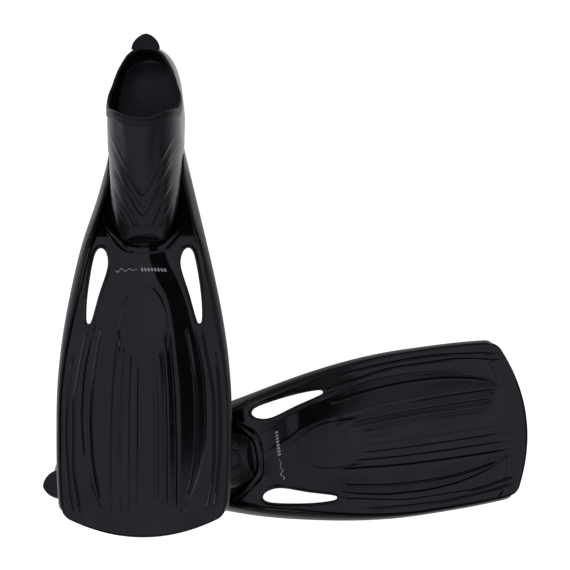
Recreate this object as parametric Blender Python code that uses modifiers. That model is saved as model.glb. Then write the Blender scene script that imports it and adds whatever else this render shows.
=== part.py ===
"""A pair of full-foot snorkelling fins, one lying across the foot pocket of the other.

Each fin is made of a moulded plastic blade whose tongue runs back under the foot, two rubber
side rails, a rubber foot pocket with its cuff and heel tab, an outsole and an insole.

A fin is drawn in its own frame in millimetres: X across, Y from the heel to the blade's tip,
Z up from the flat of the outsole. It is then placed in the pair, whose origin is on the
ground under the middle of the pair, in metres.
"""
import math

import bmesh
import bpy
from mathutils import Matrix, Vector

# ---- driving dimensions, millimetres ------------------------------------------------------
FIT_GAP = 0.3              # between pieces that touch
RAIL_GAP = 0.8             # between the blade's edge and the rails, whose stations differ
BLADE_ANGLE = math.radians(12.0)   # the blade droops from the line of the sole
BLADE_ROOT_Y = 255.0       # where the blade proper starts, from the heel
BLADE_LENGTH = 362.0       # from the root to the middle of the tip
SHEET_THICKNESS = 2.2
SHANK_Z = 4.4              # middle of the tongue under the foot
SHANK_START_Y = 2.0
TOE_RISE_START_Y = 175.0
CREST_Y = 250.0            # the sheet is highest here and then bends down into the blade
CREST_Z = 18.0
CREST_RUN = 30.0

RAIL_START_V = -127.0      # stations V are measured along the blade from its root
SHOULDER_V = -32.0
SHOULDER_HALF_WIDTH = 73.0
FULL_WIDTH_V = 208.0
FULL_HALF_WIDTH = 110.0
TIP_CORNER_V = 333.0
TIP_CORNER_HALF_WIDTH = 105.5
RAIL_WIDTH_ROOT = 13.0
RAIL_WIDTH_TIP = 6.0
RAIL_THINNING_V = (20.0, 220.0)    # the rails narrow between these stations
RAIL_RISE_TIP = 4.5        # the rails' height above the sheet, far from the foot
RAIL_RISE_ROOT = 19.0      # and what is added where they start, beside the foot
RAIL_RISE_FADE = 110.0
RAIL_DROP = 1.2            # their depth below the sheet where they start
RAIL_DROP_GAIN = 3.6       # and what is added to it further on
RAIL_STATIONS = 22

SHANK_END_V = -115.0       # the blade is as narrow as the sole up to here
PANEL_HEIGHT = 2.6         # the centre panel stands this far above the side lands
PANEL_SLOPE = 6.0          # width of the slope between them
PANEL_RISE_V = (20.0, 80.0)        # the panel comes up between these stations
STRAIGHT_END_V = 250.0     # past here the sheet's rows bend to the arc of the tip
COLLAR_RADIUS = 3.2

WALL = 2.6                 # rubber thickness of the foot pocket
HEEL_Y = -13.5             # the heel cup bulges behind its rim
POCKET_TOE_Y = 246.0
THROAT_Z = 87.0            # top of the instep at the cuff
FLAT_SHARE = 0.72          # part of the pocket's half-width that is flat underneath
INNER_SHARE = 0.68         # the same for the tongue and the insole
HEEL_CURL = 7.0            # the pocket's underside curls up this far behind the heel
CUFF_THICKNESS = 1.9
CUFF_WIDTH = 9.0
INSOLE_THICKNESS = 2.0
INSOLE_Y = (2.0, 222.0)
OUTSOLE_THICKNESS = 3.0
OUTSOLE_Y = (-5.0, 234.0)
TAB_HALF_WIDTH = 17.5
TAB_LENGTH = 19.0
TAB_THICKNESS = 3.6
TAB_ROOT_Y = 14.0
TAB_Z = 58.0
VENT_HALF_WIDTH = 20.0

# Half-width of the pocket and height of its instep at stations from the heel.
POCKET_HALF_WIDTH = ((-13.5, 9.0), (-12.0, 16.0), (-8.5, 23.5), (0.0, 31.5), (18.0, 39.5),
                     (46.0, 45.0), (85.0, 48.6), (115.0, 48.4), (150.0, 46.0),
                     (190.0, 43.0), (225.0, 36.5), (238.0, 31.0), (246.0, 27.0))
INSTEP_HEIGHT = ((-13.5, 34.0), (-12.0, 41.0), (-8.5, 49.0), (0.0, 62.0), (12.0, 75.0),
                 (40.0, 84.0), (100.0, 90.0), (115.0, THROAT_Z), (150.0, 77.0),
                 (190.0, 59.0), (225.0, 42.0), (246.0, 31.5))
# How square the pocket's arch is: 2 is an ellipse.
ARCH_SQUARENESS = ((17.0, 1.8), (50.0, 2.45), (66.0, 3.4), (80.0, 3.6), (115.0, 2.9),
                   (150.0, 2.4), (246.0, 2.2))
# The rim of the ankle opening, seen from the side: (station, height).
RIM_LINE = ((-40.0, 61.0), (2.0, 60.0), (30.0, 57.0), (55.0, 57.0), (75.0, 61.0),
            (88.0, 69.0), (109.0, 86.0), (119.0, 96.0))
# Half-width of the centre panel along the blade.
PANEL_HALF_WIDTH = ((-13.0, 20.0), (0.0, 25.0), (20.0, 34.0), (45.0, 46.0), (70.0, 57.0),
                    (95.0, 65.0), (130.0, 74.0), (168.0, 81.0), (218.0, 83.0),
                    (272.0, 78.0), (314.0, 67.0), (350.0, 60.0))
# One through window, as points on a smooth closed curve: (across, along the blade).
WINDOW = ((55.0, -1.0), (48.0, 6.0), (46.5, 24.0), (57.0, 58.0), (66.0, 90.0), (69.5, 95.0),
          (72.5, 90.0), (72.0, 66.0), (68.0, 34.0), (62.0, 6.0))
# The root collar's course round one side of the toe: (across, along the blade).
COLLAR = ((55.0, -38.0), (47.0, -24.0), (35.0, -12.0), (24.0, -5.0), (10.0, -1.5))

# Where each fin lies in the pair: its heel point, its heading and the slope of its sole.
PLACES = {
    "under_fin": {"heel": (-0.2915, -0.2589, 0.0005), "heading": 7.65, "pitch": 5.12},
    "top_fin": {"heel": (-0.1852, 0.2842, 0.0013), "heading": -89.75, "pitch": 14.75},
}

RUBBER = (0.016, 0.016, 0.017)
GLOSS_PLASTIC = (0.010, 0.010, 0.011)


# ---- scene and materials ------------------------------------------------------------------
for old in list(bpy.data.objects):
    bpy.data.objects.remove(old, do_unlink=True)
parts = bpy.data.collections.new("swim_fins")
guides = bpy.data.collections.new("cutters")
bpy.context.scene.collection.children.link(parts)
bpy.context.scene.collection.children.link(guides)


def make_material(name, colour, roughness):
    """A plain Principled material for one kind of piece."""
    material = bpy.data.materials.new(name)
    material.use_nodes = True
    shader = material.node_tree.nodes["Principled BSDF"]
    shader.inputs["Base Color"].default_value = (*colour, 1.0)
    shader.inputs["Roughness"].default_value = roughness
    shader.inputs["Metallic"].default_value = 0.0
    material.diffuse_color = (*colour, 1.0)
    return material


MATERIALS = {
    "blade": make_material("blade_plastic", GLOSS_PLASTIC, 0.12),
    "rail_left": make_material("rail_rubber", RUBBER, 0.45),
    "foot_pocket": make_material("pocket_rubber", RUBBER, 0.35),
    "opening_cuff": make_material("cuff_rubber", RUBBER, 0.50),
    "heel_tab": make_material("tab_rubber", RUBBER, 0.65),
    "outsole": make_material("outsole_rubber", RUBBER, 0.70),
    "insole": make_material("insole_rubber", RUBBER, 0.60),
}
MATERIALS["rail_right"] = MATERIALS["rail_left"]


# ---- shared geometry ----------------------------------------------------------------------
def smooth_step(t):
    """0 before t = 0, 1 after t = 1, and smooth between."""
    t = min(max(t, 0.0), 1.0)
    return t * t * (3.0 - 2.0 * t)


def along(stations, at):
    """Read a smooth line through (station, value) pairs, with no overshoot."""
    if at <= stations[0][0]:
        return stations[0][1]
    if at >= stations[-1][0]:
        return stations[-1][1]
    slopes = [(b[1] - a[1]) / (b[0] - a[0]) for a, b in zip(stations, stations[1:])]
    index = next(i for i in range(len(slopes)) if at <= stations[i + 1][0])

    def tangent(i):
        if i == 0 or i == len(slopes):
            return slopes[min(i, len(slopes) - 1)]
        before, after = slopes[i - 1], slopes[i]
        if before * after <= 0.0:
            return 0.0
        return 2.0 * before * after / (before + after)

    (x0, y0), (x1, y1) = stations[index], stations[index + 1]
    run = x1 - x0
    t = (at - x0) / run
    return (y0 * (1 + 2 * t) * (1 - t) ** 2 + tangent(index) * run * t * (1 - t) ** 2
            + y1 * t * t * (3 - 2 * t) - tangent(index + 1) * run * t * t * (1 - t))


def keel(y):
    """Height of the middle of the blade's sheet at a station from the heel."""
    if y <= CREST_Y:
        rise = smooth_step((y - TOE_RISE_START_Y) / (CREST_Y - TOE_RISE_START_Y))
        return SHANK_Z + (CREST_Z - SHANK_Z) * rise
    fall = math.tan(BLADE_ANGLE)
    if y <= CREST_Y + CREST_RUN:
        return CREST_Z - fall * (y - CREST_Y) ** 2 / (2.0 * CREST_RUN)
    return CREST_Z - fall * (y - CREST_Y - CREST_RUN / 2.0)


def station_y(v):
    """Station from the heel of a distance V along the blade."""
    return BLADE_ROOT_Y + v * (math.cos(BLADE_ANGLE) if v > 0.0 else 1.0)


def outline_half_width(v):
    """Half-width of the whole fin, rails included."""
    if v < SHOULDER_V:
        slope = math.pi / 2 * (FULL_HALF_WIDTH - SHOULDER_HALF_WIDTH) / (FULL_WIDTH_V - SHOULDER_V)
        return SHOULDER_HALF_WIDTH + slope * (v - SHOULDER_V)
    if v < FULL_WIDTH_V:
        turn = math.pi / 2 * (v - SHOULDER_V) / (FULL_WIDTH_V - SHOULDER_V)
        return SHOULDER_HALF_WIDTH + (FULL_HALF_WIDTH - SHOULDER_HALF_WIDTH) * math.sin(turn)
    past = (v - FULL_WIDTH_V) / (TIP_CORNER_V - FULL_WIDTH_V)
    return FULL_HALF_WIDTH - (FULL_HALF_WIDTH - TIP_CORNER_HALF_WIDTH) * past ** 3


def rail_inner(v):
    """Half-width at the inner side of a rail."""
    start, end = RAIL_THINNING_V
    share = smooth_step((v - start) / (end - start))
    width = RAIL_WIDTH_ROOT + (RAIL_WIDTH_TIP - RAIL_WIDTH_ROOT) * share
    pocket = along(POCKET_HALF_WIDTH, station_y(v)) + 2.0 * FIT_GAP
    if v > POCKET_TOE_Y - BLADE_ROOT_Y:
        pocket = 0.0
    return max(outline_half_width(v) - width, pocket)


def tip_v(u):
    """The tip's shallow arc."""
    return BLADE_LENGTH - (BLADE_LENGTH - TIP_CORNER_V) * (u / TIP_CORNER_HALF_WIDTH) ** 2


# ---- making objects -----------------------------------------------------------------------
def add_object(name, mesh, collection=parts):
    thing = bpy.data.objects.new(name, mesh)
    collection.objects.link(thing)
    if collection is guides:
        thing.hide_render = True
        thing.display_type = "WIRE"
    return thing


def mesh_from(name, points, faces):
    """A mesh in metres with its faces pointing out."""
    mesh = bpy.data.meshes.new(name)
    mesh.from_pydata([Vector(p) * 0.001 for p in points], [], faces)
    shape = bmesh.new()
    shape.from_mesh(mesh)
    bmesh.ops.recalc_face_normals(shape, faces=shape.faces)
    shape.to_mesh(mesh)
    shape.free()
    return mesh


def loft(name, rings, collection=parts):
    """A closed solid through rings of equal point counts, capped at both ends."""
    count = len(rings[0])
    points = [p for ring in rings for p in ring]
    faces = []
    for r in range(len(rings) - 1):
        for i in range(count):
            j = (i + 1) % count
            faces.append((r * count + i, r * count + j, (r + 1) * count + j, (r + 1) * count + i))
    faces.append(tuple(range(count)))
    faces.append(tuple(range((len(rings) - 1) * count, len(rings) * count)))
    return add_object(name, mesh_from(name, points, faces), collection)


def sheet(name, rows, thickness):
    """An open grid of points given a thickness about its middle."""
    count = len(rows[0])
    points = [p for row in rows for p in row]
    faces = []
    for r in range(len(rows) - 1):
        for i in range(count - 1):
            a = r * count + i
            faces.append((a, a + 1, a + 1 + count, a + count))
    thing = add_object(name, mesh_from(name, points, faces))
    solid = thing.modifiers.new("thickness", "SOLIDIFY")
    solid.thickness = thickness * 0.001
    solid.offset = 0.0
    solid.use_even_offset = False
    return thing


def cut(thing, cutter, operation="DIFFERENCE"):
    modifier = thing.modifiers.new(cutter.name, "BOOLEAN")
    modifier.operation = operation
    modifier.solver = "EXACT"
    modifier.object = cutter
    return modifier


def curve_to_mesh(curve_object):
    """Turn a guide curve into a closed mesh object in its place."""
    depsgraph = bpy.context.evaluated_depsgraph_get()
    mesh = bpy.data.meshes.new_from_object(curve_object.evaluated_get(depsgraph))
    shape = bmesh.new()
    shape.from_mesh(mesh)
    bmesh.ops.remove_doubles(shape, verts=shape.verts, dist=1e-6)
    bmesh.ops.recalc_face_normals(shape, faces=shape.faces)
    shape.to_mesh(mesh)
    shape.free()
    name = curve_object.name
    place = curve_object.matrix_world.copy()
    bpy.data.objects.remove(curve_object)
    thing = add_object(name, mesh, guides)
    thing.matrix_world = place
    return thing


# ---- the blade and its rails --------------------------------------------------------------
PANEL_COLUMNS = 5          # grid columns on each half of the centre panel
LAND_COLUMNS = 4           # and between the panel and the rail


def blade_row(v_line, v_of_u):
    """One row of points across the blade's sheet, from left to right."""
    edge = rail_inner(v_line) - RAIL_GAP
    y_line = station_y(v_line)
    if v_line < SHANK_END_V:
        edge = along(POCKET_HALF_WIDTH, y_line) * INNER_SHARE
    panel = min(along(PANEL_HALF_WIDTH, v_line), 0.75 * edge)
    half = [panel * i / PANEL_COLUMNS for i in range(PANEL_COLUMNS)]
    half.append(panel)
    half += [panel + (edge - panel) * i / LAND_COLUMNS for i in range(1, LAND_COLUMNS + 1)]
    rise_start, rise_end = PANEL_RISE_V
    row = []
    for side, values in ((-1, half[:0:-1]), (1, half)):
        for u in values:
            y = station_y(v_of_u(u))
            raised = PANEL_HEIGHT * smooth_step((panel - u) / PANEL_SLOPE + 0.5)
            raised *= smooth_step((v_line - rise_start) / (rise_end - rise_start))
            row.append((side * u, y, keel(y) + raised))
    return row


def window_cutter(name, side):
    """A prism through the blade in the shape of one window."""
    curve = bpy.data.curves.new(name, "CURVE")
    curve.dimensions = "2D"
    curve.fill_mode = "BOTH"
    curve.extrude = 0.020
    curve.resolution_u = 3
    spline = curve.splines.new("BEZIER")
    spline.use_cyclic_u = True
    spline.bezier_points.add(len(WINDOW) - 1)
    for point, (u, v) in zip(spline.bezier_points, WINDOW):
        point.co = (side * u * 0.001, v * 0.001, 0.0)
        point.handle_left_type = point.handle_right_type = "AUTO"
    guide = add_object(name, curve, guides)
    guide.location = (0.0, BLADE_ROOT_Y * 0.001, CREST_Z * 0.001)
    guide.rotation_euler = (-BLADE_ANGLE, 0.0, 0.0)
    bpy.context.view_layer.update()
    return curve_to_mesh(guide)


def root_collar(name):
    """The raised lip on the blade round the toe of the pocket."""
    course = [(-u, v) for u, v in COLLAR] + [(u, v) for u, v in reversed(COLLAR)]
    curve = bpy.data.curves.new(name, "CURVE")
    curve.dimensions = "3D"
    curve.bevel_depth = COLLAR_RADIUS * 0.001
    curve.bevel_resolution = 2
    curve.resolution_u = 3
    curve.use_fill_caps = True
    spline = curve.splines.new("BEZIER")
    spline.bezier_points.add(len(course) - 1)
    for point, (u, v) in zip(spline.bezier_points, course):
        y = station_y(v)
        point.co = Vector((u, y, keel(y) + 1.2)) * 0.001
        point.handle_left_type = point.handle_right_type = "AUTO"
    return curve_to_mesh(add_object(name, curve, guides))


def make_blade(prefix):
    rows = []
    v = SHANK_START_Y - BLADE_ROOT_Y
    while v < SHANK_END_V - 4.0:
        rows.append(blade_row(v, lambda u, at=v: at))
        v += 28.0
    v = SHANK_END_V + 1.0
    while v < STRAIGHT_END_V - 1.0:
        rows.append(blade_row(v, lambda u, at=v: at))
        v += 11.0 if v < 60.0 else 21.0
    steps = 5
    for step in range(steps + 1):
        t = step / steps
        line = STRAIGHT_END_V + t * (TIP_CORNER_V - STRAIGHT_END_V)
        rows.append(blade_row(line, lambda u, t=t: STRAIGHT_END_V + t * (tip_v(u) - STRAIGHT_END_V)))
    blade = sheet(prefix + "_blade", rows, SHEET_THICKNESS)
    cut(blade, window_cutter(prefix + "_window_left", -1))
    cut(blade, window_cutter(prefix + "_window_right", 1))
    cut(blade, root_collar(prefix + "_collar"), "UNION")
    return blade


def make_rail(prefix, side):
    """A rail from the side of the pocket to the corner of the tip."""
    rings = []
    for step in range(RAIL_STATIONS + 1):
        v = RAIL_START_V + (TIP_CORNER_V - RAIL_START_V) * step / RAIL_STATIONS
        y = station_y(v)
        inner, outer = rail_inner(v), outline_half_width(v)
        width = outer - inner
        up = RAIL_RISE_TIP + RAIL_RISE_ROOT * math.exp(-(v - RAIL_START_V) / RAIL_RISE_FADE)
        down = RAIL_DROP + RAIL_DROP_GAIN * smooth_step((v - RAIL_START_V) / 150.0)
        down -= 1.4 * smooth_step(v / 330.0)
        high, low = keel(y) + up, keel(y) - down
        rings.append([(side * (inner + width * across), y, low + (high - low) * tall)
                      for across, tall in ((0.0, 0.15), (0.0, 0.88), (0.22, 1.0), (0.55, 1.0),
                                           (0.86, 0.55), (1.0, 0.25), (0.88, 0.04), (0.4, 0.0))])
    return loft(prefix + ("_rail_right" if side > 0 else "_rail_left"), rings)


# ---- the foot pocket ----------------------------------------------------------------------
def pocket_floor(y):
    """Underside of the pocket, which rests on the tongue and curls up behind the heel."""
    curl = HEEL_CURL * smooth_step((-2.0 - y) / 12.0)
    return keel(y) + SHEET_THICKNESS / 2 + FIT_GAP + curl


def pocket_ring(y, shift):
    """A section of the pocket at a station, moved outwards by shift."""
    half = along(POCKET_HALF_WIDTH, y) + shift
    low = pocket_floor(y) - shift
    high = along(INSTEP_HEIGHT, y) + shift
    corner = min(14.0, 0.36 * (high - low))
    squareness = along(ARCH_SQUARENESS, y)
    right = [(FLAT_SHARE * half, low)]
    for turn in (0.55, 1.1):
        right.append((half * (FLAT_SHARE + (1 - FLAT_SHARE) * math.sin(turn)),
                      low + corner * (1 - math.cos(turn))))
    dome = high - low - corner
    for step in range(7):
        angle = math.pi / 2 * step / 7
        right.append((half * math.cos(angle) ** (2 / squareness),
                      low + corner + dome * math.sin(angle) ** (2 / squareness)))
    left = [(-x, z) for x, z in reversed(right)]
    return [(x, y, z) for x, z in [(0.0, low)] + right + [(0.0, high)] + left]


def pocket_body(name, shift, collection):
    """The outer form of the pocket, from the heel to the toe, moved outwards by shift."""
    heel = (HEEL_Y, -12.0, -9.0, -4.5, 2.0, 10.0, 20.0, 34.0, 50.0, 70.0)
    fore = (88.0, 104.0, 120.0, 140.0, 160.0, 175.0, 188.0, 200.0, 212.0, 224.0, 235.0,
            POCKET_TOE_Y)
    rings = [pocket_ring(y, shift) for y in heel + fore]
    if shift:
        rings[0] = [(x, rings[0][0][1] - shift, z) for x, y, z in rings[0]]
    return loft(name, rings, collection)


def foot_space(name):
    """The hollow of the pocket, running out through the drain slot at the toe."""
    rings = []
    for y in (-10.6, -8.5, -4.0, 3.0, 11.0, 21.0, 35.0, 51.0, 70.0, 88.0, 104.0, 120.0, 140.0,
              160.0, 175.0, 188.0, 200.0, 212.0, 224.0, 232.0):
        narrow = 1.0 - 0.35 * smooth_step((-y - 8.0) / 2.6)
        rings.append([(x * narrow, y, z) for x, _, z in pocket_ring(y, -WALL)])
    base = pocket_ring(240.0, -WALL)
    middle = pocket_floor(POCKET_TOE_Y) + 5.6
    widest = max(x for x, _, _ in base)
    for y, tall in ((241.0, 3.4), (POCKET_TOE_Y + 6.0, 2.8)):
        slot = []
        for x, _, z in base:
            share = x / widest
            low = min(p[2] for p in base)
            high = max(p[2] for p in base)
            height = 2.0 * (z - low) / (high - low) - 1.0
            slot.append((share * VENT_HALF_WIDTH, y, middle + tall * height))
        rings.append(slot)
    return loft(name, rings, guides)


def side_prism(name, outline, half_width):
    """A cutter with an outline drawn from the side, as wide as the pocket."""
    rings = [[(x, y, z) for y, z in outline] for x in (-half_width, half_width)]
    return loft(name, rings, guides)


def rim_points():
    """The rim line from behind the heel to the throat."""
    points = []
    for step in range(19):
        y = RIM_LINE[0][0] + (RIM_LINE[-1][0] - RIM_LINE[0][0]) * step / 18
        points.append((y, along(RIM_LINE, y)))
    return points


def make_pocket(prefix):
    pocket = pocket_body(prefix + "_foot_pocket", 0.0, parts)
    cut(pocket, foot_space(prefix + "_foot_space"))
    rim = rim_points()
    above = rim + [(rim[-1][0], 130.0), (rim[0][0], 130.0)]
    cut(pocket, side_prism(prefix + "_ankle_opening", above, 80.0))
    return pocket


def make_cuff(prefix):
    """A raised band round the opening, widest over the instep."""
    cuff = pocket_body(prefix + "_opening_cuff", FIT_GAP + CUFF_THICKNESS, parts)
    cut(cuff, pocket_body(prefix + "_cuff_inside", FIT_GAP, guides))
    upper = [(y, along(RIM_LINE, y)) for y in (24.0, 36.0, 48.0, 60.0, 72.0, 82.0, 90.0, 99.0,
                                               109.0, 119.0)]
    lower = []
    for y, z in upper:
        width = 2.4 + (CUFF_WIDTH - 2.4) * smooth_step((y - 24.0) / 80.0)
        steep = smooth_step((y - 70.0) / 35.0)
        lower.append((y + 0.85 * width * steep, z - width * (1.0 - 0.35 * steep)))
    band = side_prism(prefix + "_cuff_band", upper + lower[::-1], 90.0)
    cut(cuff, band, "INTERSECT")
    return cuff


def make_heel_tab(prefix):
    """A flat pull tab with a round end, rising a little to the rear."""
    rings = []
    stations = 9
    for step in range(stations + 1):
        t = step / stations
        y = TAB_ROOT_Y - (TAB_ROOT_Y + TAB_LENGTH) * t
        rounding = max(0.0, -y / TAB_LENGTH)
        half = TAB_HALF_WIDTH * math.sqrt(max(1.0 - 0.93 * rounding ** 2.0, 0.0))
        middle = TAB_Z + 0.12 * max(-y, 0.0)
        tall = TAB_THICKNESS / 2 * (1.0 - 0.35 * rounding)
        rings.append([(half * a, y, middle + tall * b)
                      for a, b in ((-1.0, -0.4), (-0.93, -1.0), (0.93, -1.0), (1.0, -0.4),
                                   (1.0, 0.4), (0.93, 1.0), (-0.93, 1.0), (-1.0, 0.4))])
    tab = loft(prefix + "_heel_tab", rings)
    cut(tab, pocket_body(prefix + "_tab_clearance", FIT_GAP, guides))
    return tab


# ---- the soles ----------------------------------------------------------------------------
def sole_rows(ends, share, inset, height):
    """Rows of points across a sole, with a rounded heel and toe."""
    first_y, last_y = ends
    rows = []
    count = 22
    for step in range(count + 1):
        turn = math.pi * step / count
        y = first_y + (last_y - first_y) * (1.0 - math.cos(turn)) / 2
        half = (along(POCKET_HALF_WIDTH, y) - inset) * share
        half *= (1.0 - 0.55 * smooth_step((first_y + 9.0 - y) / 9.0))
        half *= (1.0 - 0.35 * smooth_step((y - last_y + 14.0) / 14.0))
        rows.append([(half * a, y, height(y)) for a in (-1.0, -0.5, 0.0, 0.5, 1.0)])
    return rows


def make_outsole(prefix):
    drop = SHEET_THICKNESS / 2 + FIT_GAP + OUTSOLE_THICKNESS / 2
    rows = sole_rows(OUTSOLE_Y, FLAT_SHARE, 0.0, lambda y: keel(y) - drop)
    return sheet(prefix + "_outsole", rows, OUTSOLE_THICKNESS)


def make_insole(prefix):
    lift = WALL + 2.0 * FIT_GAP + INSOLE_THICKNESS / 2
    rows = sole_rows(INSOLE_Y, INNER_SHARE, WALL, lambda y: pocket_floor(y) + lift)
    return sheet(prefix + "_insole", rows, INSOLE_THICKNESS)


# ---- the pair -----------------------------------------------------------------------------
def make_fin(prefix, place):
    """One whole fin, with its pieces parented to an empty at its heel."""
    known = set(bpy.data.objects)
    make_blade(prefix)
    make_rail(prefix, -1)
    make_rail(prefix, 1)
    make_pocket(prefix)
    make_cuff(prefix)
    make_heel_tab(prefix)
    make_outsole(prefix)
    make_insole(prefix)
    base = bpy.data.objects.new(prefix + "_base", None)
    guides.objects.link(base)
    for thing in set(bpy.data.objects) - known:
        if thing is base:
            continue
        thing.parent = base
        if thing.name in parts.objects:
            thing.data.materials.append(MATERIALS[thing.name[len(prefix) + 1:]])
            thing.data.shade_smooth()
            thing.data.set_sharp_from_angle(angle=math.radians(35.0))
    turn = math.radians(place["heading"] - 90.0)
    tilt = math.radians(place["pitch"])
    base.matrix_world = (Matrix.Translation(place["heel"]) @ Matrix.Rotation(turn, 4, "Z")
                         @ Matrix.Rotation(tilt, 4, "X"))


for fin_name, fin_place in PLACES.items():
    make_fin(fin_name, fin_place)
bpy.context.view_layer.update()
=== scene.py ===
import math

import bmesh
import bpy
import numpy as np
from mathutils import Matrix, Vector
from mathutils.bvhtree import BVHTree


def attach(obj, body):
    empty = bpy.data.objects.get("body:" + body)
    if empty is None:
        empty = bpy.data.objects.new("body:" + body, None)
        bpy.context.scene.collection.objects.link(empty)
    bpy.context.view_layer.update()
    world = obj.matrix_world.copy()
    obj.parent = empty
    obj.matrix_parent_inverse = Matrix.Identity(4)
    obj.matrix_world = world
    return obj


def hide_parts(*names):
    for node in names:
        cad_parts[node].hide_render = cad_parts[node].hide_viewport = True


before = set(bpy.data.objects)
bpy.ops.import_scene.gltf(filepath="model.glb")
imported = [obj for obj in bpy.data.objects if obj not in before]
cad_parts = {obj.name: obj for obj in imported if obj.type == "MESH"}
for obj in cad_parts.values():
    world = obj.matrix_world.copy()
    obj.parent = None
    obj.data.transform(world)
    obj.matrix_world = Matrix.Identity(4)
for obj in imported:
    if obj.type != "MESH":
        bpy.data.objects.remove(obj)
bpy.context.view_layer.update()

# A pair of full-foot snorkelling fins, one lying across the foot pocket of the other. Each fin
# is drawn in its own frame in millimetres: X across, Y from the heel to the tip of the blade and
# Z up from the flat of the sole. Both fins come from one set of moulds, so every piece is made
# once and placed twice. V is the distance along the blade from its root.


# ---- blades ---------------------------------------------------------------------------------
# A stiff glossy sheet of injection-moulded polypropylene with a water window on each side, a
# flat spoon and flutes down the middle, and a curved channel with one thin rib on each side. Its
# root carries a raised collar round the toe, and a shank that runs back under the foot.
BLADE_ANGLE = math.radians(12.0)
ROOT_Y = 255.0
BLADE_LENGTH = 362.0
CORNER_V = 333.0
CORNER_HALF_WIDTH = 105.5
STRAIGHT_END_V = 250.0     # past here the rows of the sheet bend to the arc of the tip
SHEET = 2.2
FOOT_LEVEL = 4.4           # height of the middle of the sheet under the foot
ROOT_LEVEL = 18.0
CLIMB_Y = 175.0            # where the sheet starts to climb to its root
BEND_Y = 250.0             # where it starts to bend down to the blade
BEND_LENGTH = 30.0


def step(t):
    """0 below t = 0, 1 above t = 1 and smooth between."""
    t = np.clip(t, 0.0, 1.0)
    return t * t * (3.0 - 2.0 * t)


def through(stations, at):
    """Reads a smooth line through (station, value) pairs, with no overshoot."""
    x, y = (np.array(column, float) for column in zip(*stations))
    run = np.diff(x)
    slope = np.diff(y) / run
    before, after = slope[:-1], slope[1:]
    same = before * after > 0.0
    inner = np.where(same, 2.0 * before * after / np.where(same, before + after, 1.0), 0.0)
    tangent = np.concatenate(([slope[0]], inner, [slope[-1]]))
    at = np.clip(np.asarray(at, float), x[0], x[-1])
    i = np.clip(np.searchsorted(x, at, side="right") - 1, 0, len(run) - 1)
    t = (at - x[i]) / run[i]
    return (y[i] * (1 + 2 * t) * (1 - t) ** 2 + tangent[i] * run[i] * t * (1 - t) ** 2
            + y[i + 1] * t * t * (3 - 2 * t) - tangent[i + 1] * run[i] * t * t * (1 - t))


def keel(y):
    """Height of the middle of the sheet: flat under the foot, up at the toe, then down."""
    y = np.asarray(y, float)
    fall = math.tan(BLADE_ANGLE)
    rising = FOOT_LEVEL + (ROOT_LEVEL - FOOT_LEVEL) * step((y - CLIMB_Y) / (BEND_Y - CLIMB_Y))
    bending = ROOT_LEVEL - fall * (y - BEND_Y) ** 2 / (2.0 * BEND_LENGTH)
    falling = ROOT_LEVEL - fall * (y - BEND_Y - BEND_LENGTH / 2)
    return np.where(y <= BEND_Y, rising, np.where(y <= BEND_Y + BEND_LENGTH, bending, falling))


def station_y(v):
    """The Y of a station. Behind the root the stations run level with the sole."""
    return ROOT_Y + v * np.where(v > 0.0, math.cos(BLADE_ANGLE), 1.0)


POCKET_HALF_WIDTH = ((-13.5, 9.0), (-12.0, 16.0), (-8.5, 23.5), (0.0, 31.5), (18.0, 39.5),
                     (46.0, 45.0), (85.0, 48.6), (115.0, 48.4), (150.0, 46.0),
                     (190.0, 43.0), (225.0, 36.5), (238.0, 31.0), (246.0, 27.0))


SWELL_V = -32.0            # the rails run straight up to here, and swell from here
WIDEST_V = 208.0
SWELL_HALF_WIDTH = 73.0
WIDEST_HALF_WIDTH = 110.0
TIP_NARROWING = 4.5


def outline(v):
    """Half-width of the fin over its rails: straight at the root, then a quarter of a sine."""
    v = np.asarray(v, float)
    swell = WIDEST_HALF_WIDTH - SWELL_HALF_WIDTH
    along = (v - SWELL_V) / (WIDEST_V - SWELL_V)
    straight = SWELL_HALF_WIDTH + math.pi / 2 * swell * along
    swelling = SWELL_HALF_WIDTH + swell * np.sin(math.pi / 2 * np.clip(along, 0.0, 1.0))
    closing = WIDEST_HALF_WIDTH - TIP_NARROWING * ((v - WIDEST_V) / (CORNER_V - WIDEST_V)) ** 3
    return np.where(v < SWELL_V, straight, np.where(v < WIDEST_V, swelling, closing))


BAND_AT_ROOT = 13.0        # how wide a rail is, seen from above
BAND_AT_TIP = 6.0
TOE_V = -9.0               # behind this station the rails lie against the foot pocket
POCKET_GAP = 0.6


def rail_inner(v):
    """Half-width at the inner side of the rails."""
    v = np.asarray(v, float)
    band = BAND_AT_ROOT - (BAND_AT_ROOT - BAND_AT_TIP) * step((v - 20.0) / 200.0)
    beside_foot = np.where(v > TOE_V, 0.0, through(POCKET_HALF_WIDTH, station_y(v)) + POCKET_GAP)
    return np.maximum(outline(v) - band, beside_foot)


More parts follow.
